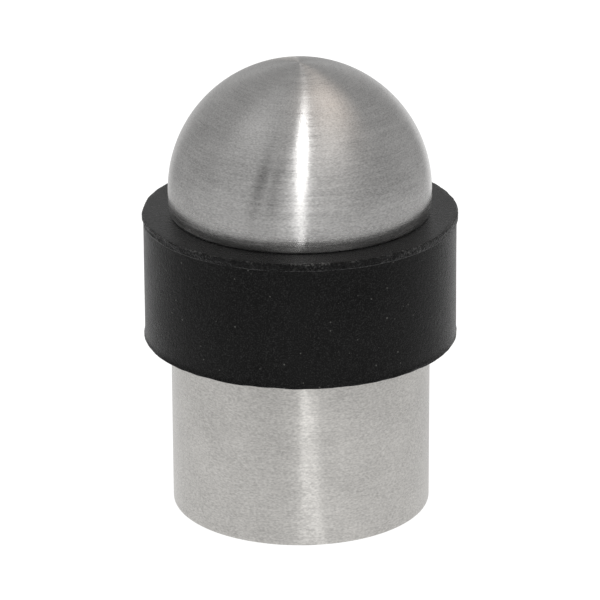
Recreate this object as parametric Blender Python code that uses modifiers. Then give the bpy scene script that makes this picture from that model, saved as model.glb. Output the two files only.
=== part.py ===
"""Floor door stop: a brushed steel post with a domed, unscrewing top and a black rubber buffer ring.

The lower sleeve stands on the floor and is closed by a base disc. A threaded neck tube rises from
the disc, carries the buffer ring, and takes the dome's hollow spigot. The fixing screw stands inside,
on its point, until it is driven down through the base disc into the floor.

Metres, +Z up, origin at the centre of the base. Every piece turns about, or slides along, the Z axis.
"""

from math import cos, pi, radians, sin, tan

import bmesh
import bpy

MM = 0.001

# Driving dimensions
BODY_RADIUS = 19.0 * MM
RING_RADIUS = 23.0 * MM
RING_BOTTOM = 26.0 * MM
RING_HEIGHT = 19.0 * MM
DOME_RADIUS = 19.15 * MM
DOME_SKIRT = 3.2 * MM
SHELL_WALL = 1.6 * MM
SLEEVE_WALL = 1.5 * MM
FIT_GAP = 0.3 * MM

# Heights worked out from them
RING_TOP = RING_BOTTOM + RING_HEIGHT
DOME_CENTRE = RING_TOP + DOME_SKIRT
SKIRT_BOTTOM = RING_TOP + FIT_GAP
SLEEVE_TOP = RING_BOTTOM - FIT_GAP

# Base
SLEEVE_BORE = BODY_RADIUS - SLEEVE_WALL
GASKET_THICKNESS = 1.2 * MM
GASKET_HOLE = 6.0 * MM
DISC_THICKNESS = 5.0 * MM
DISC_BOTTOM = GASKET_THICKNESS + FIT_GAP
DISC_TOP = DISC_BOTTOM + DISC_THICKNESS
SCREW_HOLE = 3.25 * MM
SEAT_THICKNESS = 3.0 * MM

# Neck tube and the thread that holds the dome
NECK_RADIUS = 15.0 * MM
NECK_TOP = RING_TOP - 1.0 * MM
NECK_COUNTERBORE = 12.5 * MM
COUNTERBORE_DEPTH = 2.1 * MM
THREAD_PITCH = 2.0 * MM
THREAD_CREST = 11.8 * MM
THREAD_DEPTH = 1.0 * MM
THREAD_CREST_WIDTH = 0.25 * MM
THREAD_FLANK = radians(30)
THREAD_CLEARANCE = 0.22 * MM
THREAD_ROOT = THREAD_CREST - THREAD_DEPTH
NECK_BORE = THREAD_ROOT + FIT_GAP

# Dome's inner pieces
SPIGOT_BORE = 8.6 * MM
SPIGOT_BOTTOM = 32.5 * MM
SPIGOT_TOP = 49.0 * MM
CAP_DISC_BOTTOM = SKIRT_BOTTOM + 0.2 * MM
CAP_DISC_TOP = 49.3 * MM
ORING_RADIUS = 11.3 * MM
ORING_SECTION = 0.9 * MM
ORING_HEIGHT = 43.1 * MM
WASHER_INNER = 12.8 * MM
WASHER_OUTER = 14.6 * MM
WASHER_THICKNESS = 0.5 * MM
WASHER_WAVE = 0.2 * MM
WASHER_WAVES = 3

# Fixing screw, standing on its point inside the neck
SCREW_LENGTH = 45.0 * MM
SCREW_POINT = 0.2 * MM
SCREW_HEAD_RADIUS = 5.5 * MM
SCREW_HEAD_RIM = 0.5 * MM
SCREW_SHANK = 1.95 * MM
SCREW_THREAD_RADIUS = 2.75 * MM
SCREW_PITCH = 3.0 * MM
SCREW_THREAD_LENGTH = 30.0 * MM
SCREW_TAPER = 6.0 * MM
SCREW_TIP_RADIUS = 0.15 * MM
RECESS_WIDTH = 1.1 * MM
RECESS_SPAN = 6.0 * MM
RECESS_DEPTH = 2.2 * MM
CUP_RADIUS = 7.6 * MM
CUP_HOLE = 3.1 * MM
CUP_WALL = 0.6 * MM
CUP_HEIGHT = 3.4 * MM

# Facets in a turn
OUTER_STEPS = 48
INNER_STEPS = 32
THREAD_STEPS = 24
SCREW_STEPS = 12

EDGE_BREAK = 0.3 * MM


def clear_scene():
    for old in list(bpy.data.objects):
        bpy.data.objects.remove(old, do_unlink=True)


def new_collection(name):
    collection = bpy.data.collections.new(name)
    bpy.context.scene.collection.children.link(collection)
    return collection


def new_material(name, colour, roughness, metallic):
    material = bpy.data.materials.new(name)
    material.use_nodes = True
    shader = material.node_tree.nodes["Principled BSDF"]
    shader.inputs["Base Color"].default_value = (*colour, 1.0)
    shader.inputs["Roughness"].default_value = roughness
    shader.inputs["Metallic"].default_value = metallic
    material.diffuse_color = (*colour, 1.0)
    return material


def new_empty(name, parent=None):
    empty = bpy.data.objects.new(name, None)
    empty.empty_display_size = 5 * MM
    parts.objects.link(empty)
    empty.parent = parent
    return empty


def arc(centre_x, centre_z, radius, start, end, steps):
    """Points on a circular arc in the XZ plane, from start to end in degrees, both included."""
    turns = [radians(start + (end - start) * i / steps) for i in range(steps + 1)]
    return [(centre_x + radius * cos(t), centre_z + radius * sin(t)) for t in turns]


def ring_outline(inner, outer, bottom, top, edge=EDGE_BREAK):
    """Closed outline of a flat ring with its four edges broken, running down the outer side."""
    return [
        (inner + edge, top),
        (outer - edge, top),
        (outer, top - edge),
        (outer, bottom + edge),
        (outer - edge, bottom),
        (inner + edge, bottom),
        (inner, bottom + edge),
        (inner, top - edge),
    ]


def turned(name, outline, material, steps, closed=True, height=0.0, smooth_angle=30):
    """A solid turned about Z from an outline of (radius, height) points."""
    mesh = bpy.data.meshes.new(name)
    edges = [(i, i + 1) for i in range(len(outline) - 1)]
    if closed:
        edges.append((len(outline) - 1, 0))
    mesh.from_pydata([(x, 0.0, z) for x, z in outline], edges, [])
    piece = bpy.data.objects.new(name, mesh)
    piece.location.z = height
    parts.objects.link(piece)
    screw = piece.modifiers.new("turn", "SCREW")
    screw.angle = 2 * pi
    screw.steps = screw.render_steps = steps
    screw.use_merge_vertices = True
    screw.merge_threshold = 1e-6
    return as_mesh(piece, material, smooth_angle)


def as_mesh(piece, material, smooth_angle=30):
    """Applies the modifiers, so that the piece can be cut and joined, and shades it."""
    graph = bpy.context.evaluated_depsgraph_get()
    mesh = bpy.data.meshes.new_from_object(piece.evaluated_get(graph))
    piece.modifiers.clear()
    piece.data = mesh
    mesh.name = piece.name
    mesh.materials.clear()
    mesh.materials.append(material)
    mesh.shade_smooth()
    mesh.set_sharp_from_angle(angle=radians(smooth_angle))
    return piece


def helical_ridge(name, section, pitch, turns, steps, start_height):
    """A closed bar of the given (radius, height) section, wound right-handed about Z."""
    mesh = bpy.data.meshes.new(name)
    count = len(section)
    mesh.from_pydata(
        [(x, 0.0, z) for x, z in section], [(i, (i + 1) % count) for i in range(count)], []
    )
    ridge = bpy.data.objects.new(name, mesh)
    ridge.location.z = start_height
    cutters.objects.link(ridge)
    screw = ridge.modifiers.new("wind", "SCREW")
    screw.angle = 2 * pi * turns
    screw.screw_offset = pitch * turns
    screw.steps = screw.render_steps = round(steps * turns)
    screw.use_merge_vertices = False
    graph = bpy.context.evaluated_depsgraph_get()
    wound = bpy.data.meshes.new_from_object(ridge.evaluated_get(graph))
    ridge.modifiers.clear()
    ridge.data = wound
    close_and_face_out(wound)
    hide_helper(ridge)
    return ridge


def close_and_face_out(mesh):
    shape = bmesh.new()
    shape.from_mesh(mesh)
    bmesh.ops.remove_doubles(shape, verts=shape.verts, dist=1e-7)
    open_edges = [edge for edge in shape.edges if edge.is_boundary]
    bmesh.ops.holes_fill(shape, edges=open_edges, sides=0)
    bmesh.ops.recalc_face_normals(shape, faces=shape.faces)
    shape.to_mesh(mesh)
    shape.free()


def hide_helper(helper):
    helper.hide_render = True
    helper.display_type = "WIRE"


def combine(piece, other, operation):
    """Joins or cuts a piece with a helper, exactly."""
    boolean = piece.modifiers.new(other.name, "BOOLEAN")
    boolean.operation = operation
    boolean.solver = "EXACT"
    boolean.object = other
    return boolean


def thread_section(crest, root, crest_width, extra=0.0):
    """The trapezium of a thread's ridge, widened by extra on each flank, centred on height 0."""
    half_crest = crest_width / 2 + extra
    half_root = half_crest + (crest - root) * tan(THREAD_FLANK)
    return [(crest, half_crest), (crest, -half_crest), (root, -half_root), (root, half_root)]


# --- Base: sleeve, disc, gasket, seat and neck ---


def base_sleeve():
    edge = 0.4 * MM
    outline = ring_outline(SLEEVE_BORE, BODY_RADIUS, 0.0, SLEEVE_TOP, edge)
    return turned("base_sleeve", outline, brushed_steel, OUTER_STEPS)


def base_gasket():
    outline = ring_outline(GASKET_HOLE, SLEEVE_BORE - FIT_GAP, 0.0, GASKET_THICKNESS, 0.15 * MM)
    return turned("base_gasket", outline, seal_rubber, INNER_STEPS)


def base_disc():
    outline = ring_outline(SCREW_HOLE, SLEEVE_BORE - FIT_GAP, 0.0, DISC_THICKNESS)
    return turned("base_disc", outline, plated_steel, INNER_STEPS, height=DISC_BOTTOM)


def ring_seat():
    """The washer that closes the sleeve's top and carries the buffer ring's underside."""
    outline = ring_outline(NECK_RADIUS + FIT_GAP, SLEEVE_BORE - FIT_GAP, 0.0, SEAT_THICKNESS)
    return turned(
        "ring_seat", outline, plated_steel, INNER_STEPS, height=SLEEVE_TOP - SEAT_THICKNESS
    )


def neck_tube():
    bottom = DISC_TOP + FIT_GAP
    counterbore_floor = NECK_TOP - COUNTERBORE_DEPTH
    outline = [
        (NECK_COUNTERBORE + EDGE_BREAK, NECK_TOP),
        (NECK_RADIUS - EDGE_BREAK, NECK_TOP),
        (NECK_RADIUS, NECK_TOP - EDGE_BREAK),
        (NECK_RADIUS, bottom + EDGE_BREAK),
        (NECK_RADIUS - EDGE_BREAK, bottom),
        (NECK_BORE + EDGE_BREAK, bottom),
        (NECK_BORE, bottom + EDGE_BREAK),
        (NECK_BORE, counterbore_floor),
        (NECK_COUNTERBORE, counterbore_floor),
        (NECK_COUNTERBORE, NECK_TOP - EDGE_BREAK),
    ]
    tube = turned("neck_tube", outline, plated_steel, INNER_STEPS)
    section = thread_section(
        THREAD_CREST + FIT_GAP, THREAD_ROOT, THREAD_CREST_WIDTH, THREAD_CLEARANCE / cos(THREAD_FLANK)
    )
    # The groove starts a whole number of turns below the spigot's ridge, so the two are in mesh.
    start = thread_start() - THREAD_PITCH
    turns = (counterbore_floor + THREAD_PITCH - start) / THREAD_PITCH
    groove = helical_ridge("neck_groove", section, THREAD_PITCH, turns, THREAD_STEPS, start)
    combine(tube, groove, "DIFFERENCE")
    return tube


# --- Dome: shell, disc and threaded spigot ---


def dome_shell():
    """A spun hemisphere with a short skirt, modelled about the sphere's centre."""
    inner = DOME_RADIUS - SHELL_WALL
    edge = 0.4 * MM
    bottom = SKIRT_BOTTOM - DOME_CENTRE
    outline = (
        arc(0.0, 0.0, DOME_RADIUS, 90, 0, 12)
        + [(DOME_RADIUS, bottom + edge), (DOME_RADIUS - edge, bottom)]
        + [(inner + edge / 2, bottom), (inner, bottom + edge / 2)]
        + arc(0.0, 0.0, inner, 0, 90, 7)
    )
    outline[0] = (0.0, DOME_RADIUS)
    outline[-1] = (0.0, inner)
    return turned("dome_shell", outline, brushed_steel, OUTER_STEPS, False, DOME_CENTRE)


def cap_disc():
    """The disc pressed into the dome's skirt, which holds the spigot."""
    outline = ring_outline(
        THREAD_ROOT + FIT_GAP, DOME_RADIUS - SHELL_WALL - FIT_GAP, CAP_DISC_BOTTOM, CAP_DISC_TOP
    )
    return turned("cap_disc", outline, plated_steel, INNER_STEPS)


def thread_start():
    """Height of the middle of the spigot's ridge where it begins, at angle 0."""
    return SPIGOT_BOTTOM + THREAD_PITCH / 2


def threaded_spigot():
    groove_half = ORING_SECTION + FIT_GAP
    groove_root = ORING_RADIUS - ORING_SECTION - FIT_GAP
    outline = [
        (SPIGOT_BORE + EDGE_BREAK, SPIGOT_TOP),
        (THREAD_ROOT - EDGE_BREAK, SPIGOT_TOP),
        (THREAD_ROOT, SPIGOT_TOP - EDGE_BREAK),
        (THREAD_ROOT, ORING_HEIGHT + groove_half),
        (groove_root, ORING_HEIGHT + groove_half),
        (groove_root, ORING_HEIGHT - groove_half),
        (THREAD_ROOT, ORING_HEIGHT - groove_half),
        (THREAD_ROOT, SPIGOT_BOTTOM + EDGE_BREAK),
        (THREAD_ROOT - EDGE_BREAK, SPIGOT_BOTTOM),
        (SPIGOT_BORE + EDGE_BREAK, SPIGOT_BOTTOM),
        (SPIGOT_BORE, SPIGOT_BOTTOM + EDGE_BREAK),
        (SPIGOT_BORE, SPIGOT_TOP - EDGE_BREAK),
    ]
    spigot = turned("threaded_spigot", outline, plated_steel, INNER_STEPS)
    buried = 0.5 * MM
    crest, root = THREAD_CREST, THREAD_ROOT
    section = thread_section(crest, root, THREAD_CREST_WIDTH)
    section[2] = (root - buried, section[2][1])
    section[3] = (root - buried, section[3][1])
    top = ORING_HEIGHT - groove_half - THREAD_PITCH / 2
    turns = (top - thread_start()) / THREAD_PITCH
    ridge = helical_ridge(
        "spigot_ridge", section, THREAD_PITCH, turns, THREAD_STEPS, thread_start()
    )
    combine(spigot, ridge, "UNION")
    return spigot


# --- Rubber ring and seals ---


def buffer_ring():
    """The rubber ring that the door meets, with rounded rims."""
    rim, inner, outer = 0.7 * MM, NECK_RADIUS + FIT_GAP, RING_RADIUS
    outline = (
        arc(outer - rim, RING_HEIGHT - rim, rim, 90, 0, 2)
        + arc(outer - rim, rim, rim, 0, -90, 2)
        + [(inner + EDGE_BREAK, 0.0), (inner, EDGE_BREAK)]
        + [(inner, RING_HEIGHT - EDGE_BREAK), (inner + EDGE_BREAK, RING_HEIGHT)]
    )
    return turned("buffer_ring", outline, black_rubber, OUTER_STEPS, height=RING_BOTTOM)


def spigot_oring():
    bpy.ops.mesh.primitive_torus_add(
        major_radius=ORING_RADIUS,
        minor_radius=ORING_SECTION,
        major_segments=INNER_STEPS,
        minor_segments=8,
        location=(0, 0, ORING_HEIGHT),
    )
    oring = bpy.context.object
    oring.name = oring.data.name = "spigot_oring"
    for collection in list(oring.users_collection):
        collection.objects.unlink(oring)
    parts.objects.link(oring)
    oring.data.materials.append(seal_rubber)
    oring.data.shade_smooth()
    return oring


def wave_washer():
    """A spring washer whose height rises and falls WASHER_WAVES times round its turn."""
    half = WASHER_THICKNESS / 2
    outline = [
        (WASHER_INNER, half),
        (WASHER_OUTER, half),
        (WASHER_OUTER, -half),
        (WASHER_INNER, -half),
    ]
    middle = NECK_TOP + FIT_GAP + half + WASHER_WAVE
    washer = turned("wave_washer", outline, spring_steel, INNER_STEPS, height=middle)
    for vertex in washer.data.vertices:
        slope = WASHER_WAVES * 2 * pi / INNER_STEPS
        step = round(turn_of(vertex.co) * INNER_STEPS / (2 * pi))
        vertex.co.z += WASHER_WAVE * sin(slope * step)
    return washer


def turn_of(point):
    """Angle about Z of a point, from 0 up to a full turn."""
    return point.xy.angle_signed((1.0, 0.0)) % (2 * pi)


# --- Fixing screw and its washer ---


def fixing_screw():
    """A countersunk wood screw, modelled with its point at height 0."""
    neck = SCREW_LENGTH - SCREW_HEAD_RIM - (SCREW_HEAD_RADIUS - SCREW_SHANK)
    outline = [
        (0.0, SCREW_LENGTH),
        (SCREW_HEAD_RADIUS - 0.2 * MM, SCREW_LENGTH),
        (SCREW_HEAD_RADIUS, SCREW_LENGTH - 0.2 * MM),
        (SCREW_HEAD_RADIUS, SCREW_LENGTH - SCREW_HEAD_RIM),
        (SCREW_SHANK, neck),
        (SCREW_SHANK, SCREW_TAPER),
        (SCREW_TIP_RADIUS, 0.0),
        (0.0, 0.0),
    ]
    screw = turned("fixing_screw", outline, screw_steel, 2 * SCREW_STEPS, False, SCREW_POINT)
    combine(screw, screw_thread(), "UNION")
    for turn in (0.0, pi / 2):
        combine(screw, recess_blade(turn), "DIFFERENCE")
    return screw


def screw_thread():
    """The screw's ridge, which narrows with the core towards the point."""
    root = SCREW_SHANK - 0.3 * MM
    crest_width = 0.2 * MM
    half_root = 0.55 * MM
    section = [
        (SCREW_THREAD_RADIUS, crest_width / 2),
        (SCREW_THREAD_RADIUS, -crest_width / 2),
        (root, -half_root),
        (root, half_root),
    ]
    start = 1.2 * MM
    turns = (SCREW_THREAD_LENGTH - start) / SCREW_PITCH
    ridge = helical_ridge("screw_ridge", section, SCREW_PITCH, turns, SCREW_STEPS, SCREW_POINT + start)
    for vertex in ridge.data.vertices:
        height = max(vertex.co.z + start, 0.0)
        if height < SCREW_TAPER:
            share = SCREW_TIP_RADIUS / SCREW_SHANK
            share += (1 - share) * height / SCREW_TAPER
            vertex.co.x *= share
            vertex.co.y *= share
    return ridge


def recess_blade(turn):
    """One arm of the cross recess in the screw's head, narrowing downwards."""
    bpy.ops.mesh.primitive_cube_add(size=1.0)
    blade = bpy.context.object
    blade.name = blade.data.name = "recess_blade"
    for collection in list(blade.users_collection):
        collection.objects.unlink(blade)
    cutters.objects.link(blade)
    above = 1.0 * MM
    for vertex in blade.data.vertices:
        low = vertex.co.z < 0
        vertex.co.x *= RECESS_SPAN * (0.45 if low else 1.0)
        vertex.co.y *= RECESS_WIDTH * (0.7 if low else 1.0)
        vertex.co.z = -RECESS_DEPTH if low else above
    blade.location.z = SCREW_POINT + SCREW_LENGTH
    blade.rotation_euler.z = turn
    hide_helper(blade)
    return blade


def cup_washer():
    """The pressed cup that carries the screw's head, modelled with its foot at height 0."""
    lip = CUP_HOLE + CUP_HEIGHT - CUP_WALL
    outline = [
        (lip, CUP_HEIGHT),
        (lip + CUP_WALL, CUP_HEIGHT),
        (CUP_RADIUS, CUP_WALL),
        (CUP_RADIUS, 0.0),
        (CUP_RADIUS - CUP_WALL, 0.0),
        (lip + CUP_WALL / 4, CUP_HEIGHT - 1.6 * CUP_WALL),
        (CUP_HOLE + CUP_WALL / 4, 0.0),
        (CUP_HOLE, CUP_WALL / 4),
        (CUP_HOLE, CUP_WALL),
    ]
    return turned("cup_washer", outline, screw_steel, 2 * SCREW_STEPS, height=cup_foot())


def cup_foot():
    """Height of the cup's foot when its cone stands FIT_GAP off the cone of the screw's head."""
    head_neck = SCREW_LENGTH - SCREW_HEAD_RIM - (SCREW_HEAD_RADIUS - SCREW_SHANK)
    cone_start = CUP_HOLE - CUP_WALL - SCREW_SHANK - FIT_GAP * 2**0.5
    return SCREW_POINT + head_neck + cone_start


def group(parent, pieces):
    for piece in pieces:
        piece.parent = parent


clear_scene()
parts = new_collection("door_stop")
cutters = new_collection("cutters")

brushed_steel = new_material("brushed_steel", (0.62, 0.61, 0.60), 0.32, 1.0)
plated_steel = new_material("plated_steel", (0.66, 0.67, 0.68), 0.38, 1.0)
screw_steel = new_material("screw_steel", (0.70, 0.70, 0.69), 0.28, 1.0)
spring_steel = new_material("spring_steel", (0.45, 0.45, 0.46), 0.35, 1.0)
black_rubber = new_material("black_rubber", (0.016, 0.016, 0.016), 0.55, 0.0)
seal_rubber = new_material("seal_rubber", (0.03, 0.03, 0.032), 0.6, 0.0)

base_frame = new_empty("base_frame")
buffer_pivot = new_empty("buffer_pivot", base_frame)
dome_lift = new_empty("dome_lift", base_frame)
dome_pivot = new_empty("dome_pivot", dome_lift)
screw_lift = new_empty("screw_lift", base_frame)
screw_pivot = new_empty("screw_pivot", screw_lift)

group(base_frame, [base_sleeve(), base_gasket(), base_disc(), ring_seat(), neck_tube()])
group(base_frame, [wave_washer()])
group(buffer_pivot, [buffer_ring()])
group(dome_lift, [spigot_oring()])
group(dome_pivot, [dome_shell(), cap_disc(), threaded_spigot()])
group(screw_lift, [cup_washer()])
group(screw_pivot, [fixing_screw()])
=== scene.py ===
import math

import bpy
import numpy as np
from mathutils import Matrix, Vector


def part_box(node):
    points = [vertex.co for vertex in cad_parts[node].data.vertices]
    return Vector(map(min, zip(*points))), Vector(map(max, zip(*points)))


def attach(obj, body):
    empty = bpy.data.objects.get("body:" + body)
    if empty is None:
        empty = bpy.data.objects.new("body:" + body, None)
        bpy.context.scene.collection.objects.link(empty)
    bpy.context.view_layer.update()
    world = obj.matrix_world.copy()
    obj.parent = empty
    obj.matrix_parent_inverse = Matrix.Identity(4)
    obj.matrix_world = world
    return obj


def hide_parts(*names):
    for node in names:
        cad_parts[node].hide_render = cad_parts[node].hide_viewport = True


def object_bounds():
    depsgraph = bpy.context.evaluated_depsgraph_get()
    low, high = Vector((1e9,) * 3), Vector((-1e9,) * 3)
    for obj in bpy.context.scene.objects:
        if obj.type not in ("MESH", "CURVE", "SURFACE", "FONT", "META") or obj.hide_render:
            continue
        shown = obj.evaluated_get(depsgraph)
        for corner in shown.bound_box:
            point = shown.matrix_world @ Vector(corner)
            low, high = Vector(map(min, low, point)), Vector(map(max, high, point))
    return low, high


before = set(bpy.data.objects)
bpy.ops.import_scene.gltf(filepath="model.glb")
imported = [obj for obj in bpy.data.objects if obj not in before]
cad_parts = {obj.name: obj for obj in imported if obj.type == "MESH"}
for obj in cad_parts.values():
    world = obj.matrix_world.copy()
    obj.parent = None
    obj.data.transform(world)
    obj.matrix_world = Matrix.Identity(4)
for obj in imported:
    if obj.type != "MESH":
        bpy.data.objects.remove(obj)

cadLow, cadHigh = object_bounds()
mm = 0.001
fullTurn = 2 * math.pi
print("frame loaded,", len(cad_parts), "nodes,", round((cadHigh.z - cadLow.z) / mm, 2), "mm tall")


# straight run of points from a to b, about spacing apart, without b itself
def straight(a, b, spacing):
    a, b = np.asarray(a, float), np.asarray(b, float)
    count = max(1, int(round(np.linalg.norm(b - a) / spacing)))
    share = np.arange(count)[:, None] / count
    return a + (b - a) * share


# circular arc of points (cx + radius cos t, cz + radius sin t), t in degrees, both ends included
def arc(cx, cz, radius, start, end, steps):
    t = np.radians(np.linspace(start, end, steps + 1))
    return np.stack([cx + radius * np.cos(t), cz + radius * np.sin(t)], -1)


# closed outline through the corners, each corner rounded to its own radius: the arc leaves the first side
# and joins the second at radius * tan(half the turn) from the corner, and bulges round its bisector;
# spacings holds the distance between points on the side that follows each corner
def roundedOutline(corners, radii, spacings, arcSteps=5):
    corners = np.asarray(corners, float)
    before = np.roll(corners, 1, 0)
    after = np.roll(corners, -1, 0)
    arcs = []
    for p, a, b, radius in zip(corners, before, after, radii):
        along = (p - a) / np.linalg.norm(p - a)
        onward = (b - p) / np.linalg.norm(b - p)
        turn = math.atan2(along[0] * onward[1] - along[1] * onward[0], along @ onward)
        reach = radius * math.tan(abs(turn) / 2)
        side = math.copysign(1, turn)
        centre = p - along * reach + side * radius * np.array([-along[1], along[0]])
        first = math.degrees(math.atan2(*(p - along * reach - centre)[::-1]))
        arcs.append(arc(*centre, radius, first, first + math.degrees(turn), arcSteps))
    pairs = zip(arcs, arcs[1:] + arcs[:1], spacings)
    return np.vstack([np.vstack([a[:-1], straight(a[-1], b[0], spacing)]) for a, b, spacing in pairs])


# outline of a flat ring, running down its outer side, with its four corners rounded
def ringOutline(inner, outer, bottom, top, edge, spacing):
    corners = [(inner, top), (outer, top), (outer, bottom), (inner, bottom)]
    return roundedOutline(corners, [edge] * 4, [spacing] * 4)


# surface of revolution: outline point (r, z) goes to (r cos a, r sin a, z) at every angle a; relief adds
# to r and z as a function of (a, r, z); an outline that begins and ends at r = 0 closes in two poles
def turnedPiece(name, outline, steps, relief=None, sharpAngle=35):
    poles = outline[0, 0] < 1e-9
    angle = np.arange(steps)[None, :] * fullTurn / steps
    body = outline[1:-1] if poles else outline
    r = body[:, :1] + 0 * angle
    z = body[:, 1:] + 0 * angle
    if relief is not None:
        extraR, extraZ = relief(angle, r, z)
        r, z = r + extraR, z + extraZ
    points = np.stack([r * np.cos(angle), r * np.sin(angle), z], -1).reshape(-1, 3)
    rows = len(body)
    here = np.arange(rows)[:, None] * steps + np.arange(steps)[None, :]
    right = np.roll(here, -1, 1)
    if poles:
        upper, lower = here[:-1], here[1:]
        upperRight, lowerRight = right[:-1], right[1:]
    else:
        upper, lower = here, np.roll(here, -1, 0)
        upperRight, lowerRight = right, np.roll(right, -1, 0)
    quads = np.stack([upper, lower, lowerRight, upperRight], -1).reshape(-1, 4)
    fans = np.zeros((0, 3), int)
    if poles:
        topPole, bottomPole = len(points), len(points) + 1
        points = np.vstack([points, [0, 0, outline[0, 1]], [0, 0, outline[-1, 1]]])
        topFan = np.stack([np.full(steps, topPole), here[0], right[0]], -1)
        bottomFan = np.stack([np.full(steps, bottomPole), right[-1], here[-1]], -1)
        fans = np.vstack([topFan, bottomFan])
    return meshPiece(name, points, quads, fans, sharpAngle)


# puts whole arrays of points, quads and triangles into a mesh, and shades it
def meshPiece(name, points, quads, fans, sharpAngle):
    mesh = bpy.data.meshes.new(name)
    mesh.vertices.add(len(points))
    mesh.vertices.foreach_set("co", points.astype(np.float32).ravel())
    corners = np.concatenate([quads.ravel(), fans.ravel()]).astype(np.int32)
    starts = np.concatenate([np.arange(len(quads)) * 4, len(quads) * 4 + np.arange(len(fans)) * 3])
    mesh.loops.add(len(corners))
    mesh.loops.foreach_set("vertex_index", corners)
    mesh.polygons.add(len(starts))
    mesh.polygons.foreach_set("loop_start", starts.astype(np.int32))
    mesh.update(calc_edges=True)
    mesh.validate()
    mesh.shade_smooth()
    mesh.set_sharp_from_angle(angle=math.radians(sharpAngle))
    piece = bpy.data.objects.new(name, mesh)
    bpy.context.scene.collection.objects.link(piece)
    return piece


# a piece of one four-sided face
def flatPiece(name, corners):
    return meshPiece(name, np.array(corners, float), np.array([[0, 1, 2, 3]]), np.zeros((0, 3), int), 30)


# height of a thread at (a, z), from 0 in its root to 1 on its crest: the distance from the helix
# z = start + pitch * turns, over the flank's run, faded in and out over a part of a turn at both ends
def threadHeight(angle, z, spec):
    turnsUp = (z - spec["start"]) / spec["pitch"] - angle / fullTurn
    nearest = np.round(turnsUp)
    offset = np.abs(turnsUp - nearest) * spec["pitch"]
    flank = np.clip((spec["crest"] / 2 + spec["flank"] - offset) / spec["flank"], 0, 1)
    along = nearest + angle / fullTurn
    fade = np.clip(along / spec["fade"], 0, 1) * np.clip((spec["turns"] - along) / spec["fade"], 0, 1)
    return flank * fade


# smooth random field on a rows x steps grid that wraps round the angle: seeded noise whose high
# frequencies are damped by a Gaussian, scaled to a spread of 1
def roughField(rows, steps, smoothRows, smoothSteps, seed):
    noise = np.random.default_rng(seed).normal(size=(rows, steps))
    u = np.fft.fftfreq(rows)[:, None] * smoothRows
    v = np.fft.fftfreq(steps)[None, :] * smoothSteps
    field = np.fft.ifft2(np.fft.fft2(noise) * np.exp(-20 * (u * u + v * v))).real
    return field / field.std()


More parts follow.
